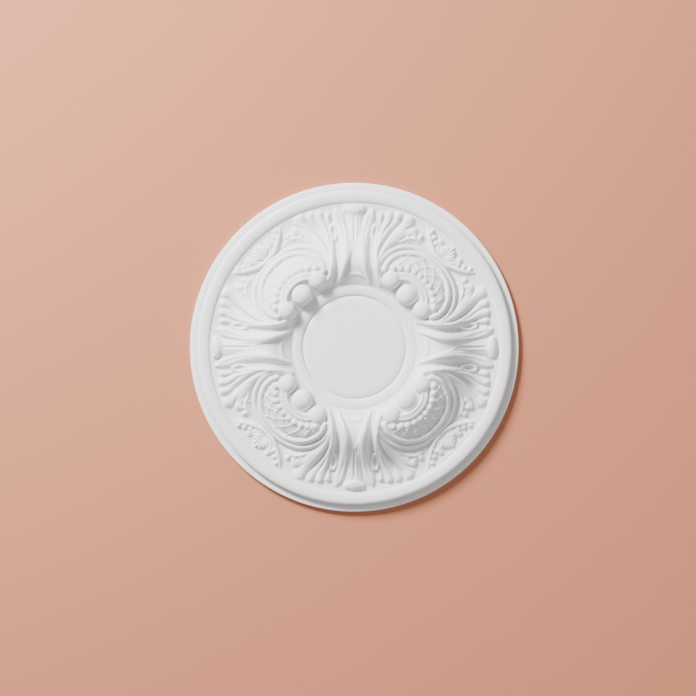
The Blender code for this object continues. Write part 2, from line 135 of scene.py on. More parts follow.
def ease(value):
    value = np.clip(value, 0, 1)
    return value * value * (3 - 2 * value)


def dome(across):
    return np.sqrt(np.clip(1 - across * across, 0, 1))


def swell(across):
    return np.clip(1 - across * across, 0, 1)


def soft(across):
    return swell(across) ** 2


def crease(across):
    return np.clip(1 - np.abs(across), 0, 1) ** CREASE_SHARPNESS


def roll(across):
    return ease((1 - np.abs(across)) / ROLL_EDGE)


def channel(across):
    side = np.abs(across)
    lip = np.clip(side / CHANNEL_REACH, 0, 1) ** 3
    return ease((1 - side) / CHANNEL_EDGE) * (CHANNEL_FLOOR + (1 - CHANNEL_FLOOR) * lip)


def curve(points):
    """A smooth line through a few chosen points."""
    given = np.array(points, float)
    padded = np.vstack([2 * given[0] - given[1], given, 2 * given[-1] - given[-2]])
    line = []
    for index in range(1, len(padded) - 2):
        before, start, end, after = padded[index - 1:index + 3]
        for step in range(CURVE_STEPS):
            t = step / CURVE_STEPS
            line.append(0.5 * (2 * start + (end - before) * t
                               + (2 * before - 5 * start + 4 * end - after) * t ** 2
                               + (3 * start - before - 3 * end + after) * t ** 3))
    line.append(given[-1])
    return np.array(line)


def ground(plan_radius):
    """Height in metres of the swelling ground under the ornament, dished up to the arris at its edge."""
    outer = ease((PLAN_DISH - plan_radius) / (PLAN_DISH - PLAN_CREST))
    inner = np.clip((PLAN_CREST - plan_radius) / (PLAN_CREST - PLAN_FOOT), 0, 1) ** FOOT_SWEEP
    rise = np.clip((plan_radius - PLAN_RISE) / (PLAN_FIELD - PLAN_RISE), 0, 1) ** 2
    return np.where(plan_radius > PLAN_CREST,
                    FIELD_HEIGHT + (CREST_HEIGHT - FIELD_HEIGHT) * outer + ARRIS_RISE * rise,
                    CREST_HEIGHT - (CREST_HEIGHT - FOOT_HEIGHT) * inner)


class Carving:
    """Heights over one eighth of the rose, seen from a fan's axis and from a cartouche's axis."""

    def __init__(self, plan_radius, angle):
        half = math.pi / REPEAT
        self.fan = np.stack([plan_radius * np.sin(angle), plan_radius * np.cos(angle)], -1)
        self.cartouche = np.stack([plan_radius * np.sin(half - angle),
                                   plan_radius * np.cos(half - angle)], -1)
        self.ground = ground(plan_radius)
        self.height = self.ground.copy()

    def near(self, plan, line, width):
        """Points beside a line: their index, place along it and signed distance from it."""
        inside = ((plan >= line.min(0) - width) & (plan <= line.max(0) + width)).all(-1)
        index = np.nonzero(inside)[0]
        start = line[:-1]
        run = line[1:] - start
        offset = plan[index][:, None, :] - start[None]
        along = np.clip((offset * run).sum(-1) / ((run * run).sum(-1) + TINY), 0, 1)
        offset = offset - along[..., None] * run
        distance = (offset * offset).sum(-1)
        best = distance.argmin(1)
        row = np.arange(len(index))
        chosen = offset[row, best]
        side = np.sign(run[best, 0] * chosen[:, 1] - run[best, 1] * chosen[:, 0])
        return index, best + along[row, best], side * np.sqrt(distance[row, best])

    def stroke(self, plan, points, section, how="lay"):
        """Carve along a line of (x, y, half width, rise): lay on the ground, add, cut to it or sink below."""
        line = curve(points)
        width = np.maximum(line[:, 2], THINNEST)
        index, along, distance = self.near(plan, line[:, :2], width.max())
        knots = np.arange(len(line))
        across = distance / np.interp(along, knots, width)
        rise = np.interp(along, knots, line[:, 3]) * CARVING_LIFT
        inside = np.abs(across) < 1
        index, across, rise = index[inside], across[inside], rise[inside]
        shaped = rise * section(across)
        if how == "cut":
            floor = np.minimum(self.ground[index], self.height[index])
            self.height[index] = np.maximum(self.height[index] - shaped, floor)
        elif how == "sink":
            self.height[index] -= shaped
        elif how == "add":
            self.height[index] += shaped
        else:
            self.lay(index, self.ground[index] + shaped, SOFTNESS * CARVING_LIFT)

    def lay(self, index, new, blend):
        """Keep the higher of the old and new heights, eased together where they meet."""
        old = self.height[index]
        share = np.clip(0.5 + 0.5 * (new - old) / blend, 0, 1)
        self.height[index] = old * (1 - share) + new * share + blend * share * (1 - share) * 0.5

    def ball(self, plan, x, y, radius, rise, seat):
        """A rounded boss whose seat lies above the ground at its middle."""
        share = ((plan[:, 0] - x) ** 2 + (plan[:, 1] - y) ** 2) / radius ** 2
        index = np.nonzero(share < 1)[0]
        middle = ground(np.array([math.hypot(x, y)]))[0]
        new = middle + (seat + rise * np.sqrt(1 - share[index])) * CARVING_LIFT
        self.height[index] = np.maximum(self.height[index], new)


# Acanthus fan, drawn with its midrib upright: x sideways, y outward from the middle
# A stroke runs through a few places, each with its x, y, half width and rise
LOBES = (
    ((0.150, 0.520, 0.016, 0.024), (0.164, 0.570, 0.028, 0.032), (0.200, 0.626, 0.041, 0.036),
     (0.246, 0.668, 0.052, 0.034), (0.292, 0.702, 0.060, 0.030), (0.322, 0.726, 0.060, 0.024)),
    ((0.156, 0.378, 0.018, 0.016), (0.138, 0.450, 0.027, 0.034), (0.136, 0.540, 0.036, 0.040),
     (0.150, 0.620, 0.042, 0.039), (0.174, 0.690, 0.048, 0.035), (0.200, 0.740, 0.052, 0.029),
     (0.218, 0.775, 0.048, 0.022)),
    ((0.092, 0.395, 0.014, 0.014), (0.068, 0.460, 0.027, 0.034), (0.052, 0.540, 0.040, 0.043),
     (0.050, 0.640, 0.048, 0.041), (0.064, 0.710, 0.050, 0.036), (0.082, 0.760, 0.048, 0.031),
     (0.098, 0.800, 0.037, 0.026), (0.110, 0.829, 0.014, 0.018)),
    ((0, 0.600, 0.020, 0.030), (0, 0.680, 0.044, 0.038), (0, 0.750, 0.062, 0.037), (0, 0.800, 0.066, 0.030)),
)
PETAL_EDGE = ((0.074, 0.732, 0.044, 0.020), (0.088, 0.776, 0.043, 0.022), (0.101, 0.808, 0.033, 0.021),
              (0.112, 0.836, 0.011, 0.018))
TIPS = (
    (0.160, 0.797, 0.023, 2), (0.212, 0.799, 0.031, 10), (0.267, 0.792, 0.030, 22),
    (0.330, 0.768, 0.042, 34), (0.354, 0.700, 0.036, 62),
)
TIP_LENGTH = 0.070
TIP_EDGE = 0.021
TIP_CROWN = 0.028
TIP_ROOT = 0.7
ROOT_RISE = 0.5
FURROWS = (
    ((0, 0.590, 0.008, 0.004), (0, 0.650, 0.011, 0.026), (0, 0.730, 0.010, 0.022), (0, 0.800, 0.008, 0.014)),
    ((0.128, 0.400, 0.014, 0.014), (0.110, 0.460, 0.021, 0.042), (0.102, 0.550, 0.023, 0.054),
     (0.107, 0.630, 0.020, 0.042), (0.116, 0.672, 0.015, 0.024)),
    ((0.142, 0.530, 0.010, 0.008), (0.160, 0.600, 0.016, 0.032), (0.202, 0.668, 0.018, 0.034),
     (0.252, 0.722, 0.016, 0.030), (0.292, 0.772, 0.012, 0.026), (0.302, 0.812, 0.010, 0.028)),
    ((0.034, 0.590, 0.007, 0.003), (0.040, 0.680, 0.011, 0.012), (0.050, 0.750, 0.011, 0.011),
     (0.058, 0.800, 0.008, 0.006)),
    ((0.018, 0.640, 0.006, 0.002), (0.022, 0.720, 0.008, 0.007), (0.028, 0.790, 0.007, 0.004)),
    ((0.052, 0.620, 0.006, 0.002), (0.062, 0.690, 0.010, 0.010), (0.080, 0.750, 0.011, 0.012),
     (0.100, 0.806, 0.008, 0.007)),
    ((0.130, 0.775, 0.006, 0.004), (0.139, 0.800, 0.008, 0.020), (0.145, 0.840, 0.009, 0.030)),
    ((0.140, 0.610, 0.007, 0.006), (0.148, 0.680, 0.010, 0.018), (0.164, 0.735, 0.010, 0.020),
     (0.181, 0.785, 0.008, 0.024), (0.186, 0.830, 0.009, 0.034)),
    ((0.158, 0.640, 0.007, 0.004), (0.184, 0.700, 0.011, 0.018), (0.216, 0.745, 0.011, 0.024),
     (0.236, 0.785, 0.008, 0.028), (0.242, 0.830, 0.009, 0.036)),
    ((0.300, 0.702, 0.007, 0.004), (0.334, 0.724, 0.012, 0.024), (0.384, 0.738, 0.012, 0.034)),
    ((0.290, 0.652, 0.010, 0.010), (0.322, 0.662, 0.016, 0.030), (0.360, 0.672, 0.013, 0.032)),
)
FACET_APEX = 0.620
FACET_SPREAD = 0.36
FACET_RISE = 0.030
LIP = ((0.006, 0.616, 0.010, 0.030), (0.032, 0.548, 0.014, 0.031), (0.056, 0.480, 0.014, 0.028),
       (0.084, 0.418, 0.012, 0.018), (0.100, 0.386, 0.010, 0.006))
SHELF = ((0, 0.440, 0.016, 0.008), (0.034, 0.434, 0.016, 0.008), (0.062, 0.418, 0.012, 0.005))
KNOB = ((0, 0.829, 0.039, 0.042), (0.024, 0.832, 0.034, 0.040), (0.045, 0.837, 0.025, 0.032))
EYE = (0.126, 0.694, 6)
EYE_LENGTH = 0.036
EYE_WIDTH = 0.021
EYE_LIP = ((1.0, 0.036), (1.35, 0.039), (1.1, 0.036))
EYE_PIT = ((0.55, 0.044), (1.0, 0.066), (0.55, 0.040))


def fan(carving):
    plan = carving.fan
    for points in LOBES:
        carving.stroke(plan, points, swell)
    carving.stroke(plan, PETAL_EDGE, roll)
    for x, y, width, bearing in TIPS:
        tip(carving, plan, x, y, bearing, TIP_LENGTH, width, TIP_CROWN, TIP_EDGE)
    for points in FURROWS:
        carving.stroke(plan, points, crease, "cut")
    facet(carving)
    carving.stroke(plan, LIP, swell)
    carving.stroke(plan, SHELF, soft, "add")
    eye(carving, plan, *EYE)
    carving.stroke(plan, KNOB, dome)


def tip(carving, plan, x, y, bearing, length, width, crown_rise, edge_rise=0):
    """A rounded leaf tip that ends at a place, its bearing in degrees from the outward direction."""
    turn = math.radians(bearing)
    root = (x - length * math.sin(turn), y - length * math.cos(turn), width * TIP_ROOT)
    if edge_rise:
        carving.stroke(plan, ((*root, edge_rise * ROOT_RISE), (x, y, width, edge_rise)), roll)
    carving.stroke(plan, ((*root, crown_rise * ROOT_RISE), (x, y, width, crown_rise)), swell)


def facet(carving):
    """The three-sided recess at the fan's foot, deepest at the plain ring and level with the leaf above."""
    plan = carving.fan
    below = FACET_APEX - plan[:, 1]
    inside = (below > 0) & (plan[:, 0] < below * FACET_SPREAD)
    share = np.clip(1 - below[inside] / (FACET_APEX - PLAN_FOOT), 0, 1)
    carving.height[inside] = carving.ground[inside] + FACET_RISE * CARVING_LIFT * share ** 2


def eye(carving, plan, x, y, lean):
    """The rolled eye where two leaflets part: a raised lip round a narrow pit."""
    turn = math.radians(lean)
    step_x = EYE_LENGTH * math.sin(turn)
    step_y = EYE_LENGTH * math.cos(turn)
    ends = ((x - step_x, y - step_y), (x, y), (x + step_x, y + step_y))
    lip = [(*end, EYE_WIDTH * size, rise * size) for end, (size, rise) in zip(ends, EYE_LIP)]
    pit = [(*end, EYE_WIDTH * size, depth * size) for end, (size, depth) in zip(ends, EYE_PIT)]
    carving.stroke(plan, lip, swell)
    carving.stroke(plan, pit, soft, "cut")


# Cartouche, drawn with its axis upright
FRAME = ((0, 0.699), (0.075, 0.689), (0.140, 0.660), (0.190, 0.610), (0.217, 0.550), (0.218, 0.495),
         (0.200, 0.452))
FRAME_WIDTH = 0.018
FRAME_RISE = 0.034
BORDER = ((0, 0.723), (0.085, 0.715), (0.162, 0.686), (0.222, 0.634), (0.256, 0.562), (0.259, 0.500),
          (0.238, 0.444), (0.194, 0.406), (0.140, 0.392), (0.096, 0.404))
BORDER_WIDTH = 0.013
BORDER_RISE = 0.026
HOLLOWS = ((0.90, 0.011, 0.010), (1.20, 0.013, 0.008))
ARCH = ((0, 0.535), (0.050, 0.528), (0.092, 0.504), (0.118, 0.468))
ARCH_WIDTH = 0.024
ARCH_RISE = 0.036
PANEL = ((0, 0.610, 0.105, 0.026), (0.080, 0.600, 0.100, 0.026), (0.150, 0.556, 0.080, 0.028),
         (0.180, 0.500, 0.050, 0.024))
BALL_PLACE = 0.446
DIAPER_CENTRE = 0.400
DIAPER_PITCH = 0.070
DIAPER_SWEEP = 0.24
DIAPER_RISE = 0.0085
DIAPER_WIDTH = 0.0072
DIAPER_INNER = 0.185
DIAPER_OUTER = 0.300
DIAPER_SIDE = 0.205
DIAPER_FOOT = 0.085
DIAPER_EDGE = 0.012
BEAD_ARCH = ((0, 0.580), (0.042, 0.576), (0.084, 0.563), (0.124, 0.541), (0.158, 0.512), (0.182, 0.482))
BEADS = 5
BEAD_SIZE = (0.0200, 0.016, 0.022)
MIDDLE_BALL = (0, BALL_PLACE, 0.064, 0.054, 0.006)
SIDE_BALL = (0.130, BALL_PLACE, 0.055, 0.044, 0.012)


def cartouche(carving):
    plan = carving.cartouche
    carving.stroke(plan, PANEL, swell)
    diaper(carving, plan)
    for outward, width, depth in HOLLOWS:
        hollow = [(x * outward, BALL_PLACE + (y - BALL_PLACE) * outward, width, depth) for x, y in FRAME]
        carving.stroke(plan, hollow, soft, "sink")
    carving.stroke(plan, [(x, y, BORDER_WIDTH, BORDER_RISE) for x, y in BORDER], dome)
    carving.stroke(plan, [(x, y, FRAME_WIDTH, FRAME_RISE) for x, y in FRAME], dome)
    carving.stroke(plan, [(x, y, ARCH_WIDTH, ARCH_RISE) for x, y in ARCH], channel)
    beads(carving, plan)
    carving.ball(plan, *MIDDLE_BALL)
    carving.ball(plan, *SIDE_BALL)


def beads(carving, plan):
    line = curve([(x, y, 0, 0) for x, y in BEAD_ARCH])[:, :2]
    travelled = np.concatenate([[0], np.cumsum(np.hypot(*np.diff(line, axis=0).T))])
    for index in range(BEADS):
        place = travelled[-1] * (index + 0.5) / BEADS
        x = np.interp(place, travelled, line[:, 0])
        y = np.interp(place, travelled, line[:, 1])
        carving.ball(plan, x, y, *BEAD_SIZE)


def diaper(carving, plan):
    """Thin crossed lines over the swelling panel, following its curve."""
    from_x = plan[:, 0]
    from_y = plan[:, 1] - DIAPER_CENTRE
    reach = np.hypot(from_x, from_y)
    sweep = np.arctan2(from_x, from_y) * DIAPER_SWEEP
    panel = ease((DIAPER_OUTER - reach) / DIAPER_EDGE) * ease((reach - DIAPER_INNER) / DIAPER_EDGE)
    panel = panel * ease((DIAPER_SIDE - from_x) / DIAPER_EDGE) * ease((from_y - DIAPER_FOOT) / DIAPER_EDGE)
    for way in (1, -1):
        phase = (sweep + way * reach) / DIAPER_PITCH
        distance = np.abs(phase - np.round(phase)) * DIAPER_PITCH
        thread = np.clip(1 - (distance / DIAPER_WIDTH) ** 2, 0, 1)
        carving.height += DIAPER_RISE * CARVING_LIFT * panel * thread


# Crown of the cartouche: a ribbed shell between two leafy scrolls
CROWN_BASE = 0.752
CROWN_ARM = ((0, 0.746, 0.012, 0.018), (0.050, 0.750, 0.014, 0.024), (0.100, 0.768, 0.015, 0.026),
             (0.150, 0.796, 0.014, 0.024), (0.194, 0.830, 0.009, 0.014))
SHELL_RIBS = 4
SHELL_TURN = math.radians(15)
SHELL_LENGTH = 0.096
SHELL_SHORTER = 0.009
SHELL_RIB = ((0.22, 0.005, 0.014), (0.60, 0.0085, 0.029), (0.96, 0.0115, 0.028))
CROWN_LEAF = ((0.034, 0.764, 0.012, 0.016), (0.062, 0.792, 0.024, 0.023), (0.080, 0.822, 0.022, 0.022))
CROWN_LEAF_RIB = ((0.040, 0.768, 0.005, 0.004), (0.062, 0.796, 0.007, 0.012), (0.076, 0.830, 0.006, 0.012))
ARM_LEAFLETS = ((0.094, 0.800, -4), (0.128, 0.814, 0), (0.162, 0.832, 4))
ARM_LEAFLET_SIZE = (0.036, 0.018, 0.026)
SIDE_LEAF = ((0.256, 0.640, 0.008, 0.014), (0.236, 0.688, 0.017, 0.026), (0.208, 0.720, 0.020, 0.027),
             (0.178, 0.736, 0.014, 0.020), (0.156, 0.740, 0.008, 0.012))
SIDE_RIB = ((0.242, 0.664, 0.005, 0.004), (0.214, 0.704, 0.007, 0.010), (0.180, 0.728, 0.005, 0.005))
SIDE_LEAFLETS = ((0.250, 0.706, 54), (0.222, 0.740, 34), (0.188, 0.758, 12))
SIDE_LEAFLET_SIZE = (0.034, 0.021, 0.026)


def crown(carving):
    plan = carving.cartouche
    carving.stroke(plan, CROWN_ARM, dome)
    carving.stroke(plan, CROWN_LEAF, swell)
    carving.stroke(plan, CROWN_LEAF_RIB, crease, "cut")
    for index in range(SHELL_RIBS):
        turn = index * SHELL_TURN
        length = SHELL_LENGTH - SHELL_SHORTER * index
        rib = [(math.sin(turn) * length * share, CROWN_BASE + math.cos(turn) * length * share, width, rise)
               for share, width, rise in SHELL_RIB]
        carving.stroke(plan, rib, swell)
    for x, y, bearing in ARM_LEAFLETS:
        tip(carving, plan, x, y, bearing, *ARM_LEAFLET_SIZE)
    carving.stroke(plan, SIDE_LEAF, swell)
    for x, y, bearing in SIDE_LEAFLETS:
        tip(carving, plan, x, y, bearing, *SIDE_LEAFLET_SIZE)
    carving.stroke(plan, SIDE_RIB, soft, "cut")


def carved_heights(radius, angle):
    """Heights in metres at the given radii and angles of the carved ring."""
    share = (radius - FOOT_RADIUS) / (FIELD_RADIUS - FOOT_RADIUS)
    plan_radius = PLAN_FOOT + share * (PLAN_FIELD - PLAN_FOOT)
    sector = 2 * math.pi / REPEAT
    folded = np.mod(angle, sector)
    folded = np.minimum(folded, sector - folded)
    carving = Carving(plan_radius, folded)
    fan(carving)
    cartouche(carving)
    crown(carving)
    hold = ease((plan_radius - PLAN_FOOT) / EDGE_BLEND) * ease((PLAN_FIELD - plan_radius) / EDGE_BLEND)
    return carving.ground + (carving.height - carving.ground) * hold


# Modelling helpers
def deselect():
    for item in bpy.context.selected_objects:
        item.select_set(False)


def activate(item):
    deselect()
    item.select_set(True)
    bpy.context.view_layer.objects.active = item


def arc(middle_radius, middle_height, wide, high, start, end, steps):
    """Points on an elliptical bead or round of the turned section, angles in degrees."""
    points = []
    for step in range(steps + 1):
        turn = math.radians(start + (end - start) * step / steps)
        points.append((middle_radius + wide * math.cos(turn), middle_height + high * math.sin(turn)))
    return points


# Rings across the flats, as shares of the disc's and the rose's radius; the quirk's round and the ring's fall
DISC_RINGS = (0.5, 0.9)
BACK_RINGS = (0.985, 0.6, 0.2)
QUIRK_ROUND = ((0, 1), (0.6, 0.3), (1.4, 0))
FALL_START = 75
FALL_END = 10


def middle_section():
    """Turned section from the flat of the disc out to the ring's foot."""
    ring_rise = RING_HEIGHT - GROOVE_HEIGHT
    section = [(DISC_RADIUS * share, DISC_HEIGHT) for share in DISC_RINGS]
    section += arc(DISC_RADIUS, GROOVE_HEIGHT, DISC_ROUND_WIDTH, GROOVE_DEPTH, 90, 0, ROUND_STEPS)
    section += arc(RING_RADIUS, GROOVE_HEIGHT, RING_RISE_WIDTH, ring_rise, 180, 90, ROUND_STEPS)
    section += arc(RING_RADIUS, FOOT_HEIGHT, RING_FALL_WIDTH, RING_FALL, FALL_START, FALL_END, FALL_STEPS)
    return section


def rim_section():
    """Turned section from the crease over the rim to the edge and down to the back."""
    section = [(FIELD_RADIUS + CREASE_WIDTH / 2, ARRIS_HEIGHT - CREASE_DEPTH / 2)]
    section += arc(RIM_IN, CREASE_HEIGHT, SLOPE_WIDTH, RIM_HEIGHT - CREASE_HEIGHT, 180, 90, ROUND_STEPS)
    section += arc(RIM_OUT, WALL_HEIGHT, RIM_ROUND_WIDTH, RIM_ROUND_DROP, 90, 0, RIM_STEPS)
    section += [(QUIRK_RADIUS + QUIRK_DEPTH * out, EDGE_HEIGHT - QUIRK_DEPTH * down)
                for out, down in QUIRK_ROUND]
    section += arc(RADIUS - EDGE_ROUND, EDGE_HEIGHT - EDGE_ROUND, EDGE_ROUND, EDGE_ROUND, 90, 0, EDGE_STEPS)
    section.append((RADIUS, 0))
    return section


def draw_out(section, radius, height):
    """Draw the selected edge loop out through the rings of a turned section."""
    for next_radius, next_height in section:
        rise = (0, 0, next_height - height)
        bpy.ops.mesh.extrude_region_move(TRANSFORM_OT_translate={"value": rise})
        scale = next_radius / radius
        bpy.ops.transform.resize(value=(scale, scale, 1), center_override=(0, 0, next_height))
        radius = next_radius
        height = next_height


def start_circle(name, radius, height):
    """A bare circle at its height, left in edit mode with its edges selected."""
    deselect()
    bpy.ops.mesh.primitive_circle_add(vertices=TURNED_SIDES, radius=radius, fill_type="NOTHING",
                                      location=(0, 0, 0))
    piece = bpy.context.object
    piece.name = name
    bpy.ops.object.mode_set(mode="EDIT")
    bpy.ops.mesh.select_mode(type="EDGE")
    bpy.ops.mesh.select_all(action="SELECT")
    bpy.ops.transform.translate(value=(0, 0, height))
    return piece


def turned(name, section):
    """A turned piece drawn from its first ring along its section and closed to a point at the end."""
    piece = start_circle(name, *section[0])
    draw_out(section[1:], *section[0])
    bpy.ops.mesh.extrude_region_move(TRANSFORM_OT_translate={"value": (0, 0, 0)})
    bpy.ops.mesh.merge(type="CENTER")
    bpy.ops.object.mode_set(mode="OBJECT")
    return piece


def turned_middle():
    """The plain ring, the groove and the disc, drawn inwards from the ring's foot."""
    return turned("middle", middle_section()[::-1])


def turned_rim():
    """The crease, the rim, the outer step and the flat back."""
    return turned("rim", rim_section() + [(RADIUS * share, 0) for share in BACK_RINGS])


def vertex_places(mesh):
    """The mesh's vertices, one row of X, Y and Z each."""
    place = np.empty(len(mesh.vertices) * 3)
    mesh.vertices.foreach_get("co", place)
    return place.reshape(-1, 3)


def softened(grid, passes):
    """A grid of rings by columns, evened out between neighbours; the columns run round."""
    for _ in range(passes):
        grid = grid / 2 + (np.roll(grid, 1, 1) + np.roll(grid, -1, 1)) / 4
        inner = np.vstack([grid[:1], grid[:-1]])
        outer = np.vstack([grid[1:], grid[-1:]])
        grid = grid / 2 + (inner + outer) / 4
    return grid


def carved_grid():
    """Heights of the carved ring, rings by columns: one eighth is carved and then turned and mirrored."""
    eighth = CARVED_COLUMNS // (2 * REPEAT)
    radii = np.linspace(FOOT_RADIUS, FIELD_RADIUS, CARVED_RINGS)
    angles = np.arange(eighth + 1) * (2 * math.pi / CARVED_COLUMNS)
    heights = carved_heights(np.repeat(radii, eighth + 1), np.tile(angles, CARVED_RINGS))
    heights = heights.reshape(CARVED_RINGS, eighth + 1)
    sector = np.hstack([heights, heights[:, -2:0:-1]])
    return radii, softened(np.tile(sector, REPEAT), SOFTENING_PASSES)


def carved_ring(radii, heights):
    """The carved ring: a fine flat grid wrapped round into a ring and raised to the carving's heights."""
    deselect()
    bpy.ops.mesh.primitive_grid_add(x_subdivisions=CARVED_COLUMNS, y_subdivisions=CARVED_RINGS - 1, size=2,
                                    location=(0, 0, 0))
    piece = bpy.context.object
    piece.name = "carving"
    mesh = piece.data
    place = vertex_places(mesh)
    column = np.rint((place[:, 0] + 1) / 2 * CARVED_COLUMNS).astype(int)
    row = np.rint((place[:, 1] + 1) / 2 * (CARVED_RINGS - 1)).astype(int)
    angle = (column % CARVED_COLUMNS) * (2 * math.pi / CARVED_COLUMNS)
    place[:, 0] = radii[row] * np.sin(angle)
    place[:, 1] = radii[row] * np.cos(angle)
    place[:, 2] = heights[row, column % CARVED_COLUMNS]
    mesh.vertices.foreach_set("co", place.ravel())
    mesh.update()
    bpy.ops.object.mode_set(mode="EDIT")
    bpy.ops.mesh.select_all(action="SELECT")
    bpy.ops.mesh.remove_doubles(threshold=MERGE)
    bpy.ops.object.mode_set(mode="OBJECT")
    thin_out(piece, radii)
    return piece


def thin_out(piece, radii):
    """Fewer faces where the carving is plain; the first and last rings stay whole."""
    mesh = piece.data
    distance = np.hypot(*vertex_places(mesh)[:, :2].T)
    spacing = radii[1] - radii[0]
    inside = (distance > radii[0] + spacing / 2) & (distance < radii[-1] - spacing / 2)
    group = piece.vertex_groups.new(name="carved")
    group.add(np.nonzero(inside)[0].tolist(), 1.0, "REPLACE")
    thin = piece.modifiers.new("thin", "DECIMATE")
    thin.ratio = CARVED_FACES / (2 * len(mesh.polygons))
    thin.vertex_group = "carved"
    thin.use_collapse_triangulate = True
    activate(piece)
    bpy.ops.object.modifier_apply(modifier="thin")
    piece.vertex_groups.clear()


def bridge_gap(inner_radius, outer_radius):
    """Close the gap between two open edge loops; everything is in edit mode."""
    bpy.ops.object.mode_set(mode="OBJECT")
    mesh = bpy.context.object.data
    place = vertex_places(mesh)
    distance = np.hypot(place[:, 0], place[:, 1])
    near = (distance > inner_radius - LOOP_SLACK) & (distance < outer_radius + LOOP_SLACK)
    near &= place[:, 2] > LOOP_SLACK
    ends = np.empty(len(mesh.edges) * 2, int)
    mesh.edges.foreach_get("vertices", ends)
    ends = ends.reshape(-1, 2)
    uses = np.zeros(len(mesh.edges), int)
    loops = np.empty(len(mesh.loops), int)
    mesh.loops.foreach_get("edge_index", loops)
    np.add.at(uses, loops, 1)
    chosen = near[ends].all(1) & (uses == 1)
    for kind in (mesh.vertices, mesh.edges, mesh.polygons):
        kind.foreach_set("select", [False] * len(kind))
    mesh.edges.foreach_set("select", chosen.tolist())
    bpy.ops.object.mode_set(mode="EDIT")
    bpy.ops.mesh.select_mode(type="EDGE")
    bpy.ops.mesh.bridge_edge_loops()
    bpy.ops.object.mode_set(mode="OBJECT")


def recesses(radii, heights):
    """How far each place of the rose lies below what is round it: the carved grid and the turned parts."""
    carved = softened(heights, PIT_PASSES) - heights
    inner = np.array([(0, DISC_HEIGHT)] + middle_section())
    outer = np.array(rim_section())
    line = np.linspace(0, RADIUS, PROFILE_STEPS)
    profile = np.interp(line, np.concatenate([inner[:, 0], radii, outer[:, 0]]),
                        np.concatenate([inner[:, 1], heights.mean(1), outer[:, 1]]))
    wide = profile[:, None]
    for _ in range(PIT_PASSES):
        wide = np.vstack([wide[:1], wide[:-1]]) / 4 + wide / 2 + np.vstack([wide[1:], wide[-1:]]) / 4
    return carved, line, wide[:, 0] - profile


def mark_recesses(piece, radii, heights):
    """Store on every vertex how deep it lies in the carving, for the painted shade in the recesses and the
    paint's roughness.
    """
    carved, line, turned = recesses(radii, heights)
    mesh = piece.data
    place = vertex_places(mesh)
    radius = np.hypot(place[:, 0], place[:, 1])
    column = np.mod(np.arctan2(place[:, 0], place[:, 1]) / (2 * math.pi), 1) * CARVED_COLUMNS
    row = np.clip((radius - radii[0]) / (radii[1] - radii[0]), 0, CARVED_RINGS - 1)
    on_ring = (radius > radii[0]) & (radius < radii[-1])
    nearest = carved[np.rint(row).astype(int), np.rint(column).astype(int) % CARVED_COLUMNS]
    deep = np.where(on_ring, nearest, np.interp(radius, line, turned))
    deep = np.where(place[:, 2] < MERGE, 0, deep) / RECESS_DEPTH
    mark = mesh.attributes.new("recess", "FLOAT", "POINT")
    mark.data.foreach_set("value", np.clip(deep, -1, 1).astype(np.float32))


def hold_back_flat(mesh):
    """Put the back exactly in the plane that the rose is fixed to."""
    place = vertex_places(mesh)
    place[place[:, 1] > -MERGE, 1] = 0
    mesh.vertices.foreach_set("co", place.ravel())
    mesh.update()


def carved_rose():
    """The whole rose as one closed piece, ornament towards -Y and its flat back at Y = 0."""
    radii, heights = carved_grid()
    middle = turned_middle()
    rim = turned_rim()
    ring = carved_ring(radii, heights)
    deselect()
    for part in (middle, rim, ring):
        part.select_set(True)
    bpy.context.view_layer.objects.active = ring
    bpy.ops.object.join()
    rose = bpy.context.object
    rose.name = "carved_rose"
    rose.data.name = "carved_rose"
    bridge_gap(middle_section()[-1][0], FOOT_RADIUS)
    bridge_gap(FIELD_RADIUS, rim_section()[0][0])
    mark_recesses(rose, radii, heights)
    rose.rotation_euler = (math.pi / 2, 0, 0)
    activate(rose)
    bpy.ops.object.transform_apply(location=True, rotation=True, scale=True)
    hold_back_flat(rose.data)
    bpy.ops.object.mode_set(mode="EDIT")
    bpy.ops.mesh.select_all(action="SELECT")
    bpy.ops.mesh.normals_make_consistent(inside=False)
    bpy.ops.object.mode_set(mode="OBJECT")
    bpy.ops.object.shade_smooth_by_angle(angle=SHARP_ANGLE)
    return rose


# Materials
class Value:
    """A number that changes over a surface; sums with it become nodes."""

    def __init__(self, finish, socket):
        self.finish = finish
        self.socket = socket

    def sum(self, operation, first, second):
        return self.finish.node("ShaderNodeMath", {"operation": operation}, {0: first, 1: second})

    def __add__(self, other):
        return self.sum("ADD", self, other)

    def __radd__(self, other):
        return self.sum("ADD", other, self)

    def __sub__(self, other):
        return self.sum("SUBTRACT", self, other)

    def __rsub__(self, other):
        return self.sum("SUBTRACT", other, self)

    def __mul__(self, other):
        return self.sum("MULTIPLY", self, other)

    def __rmul__(self, other):
        return self.sum("MULTIPLY", other, self)

    def between(self, start, end):
        """0 below start, 1 above end and eased between them."""
        return self.finish.node("ShaderNodeMapRange", {"interpolation_type": "SMOOTHSTEP"},
                                {"Value": self, "From Min": start, "From Max": end})


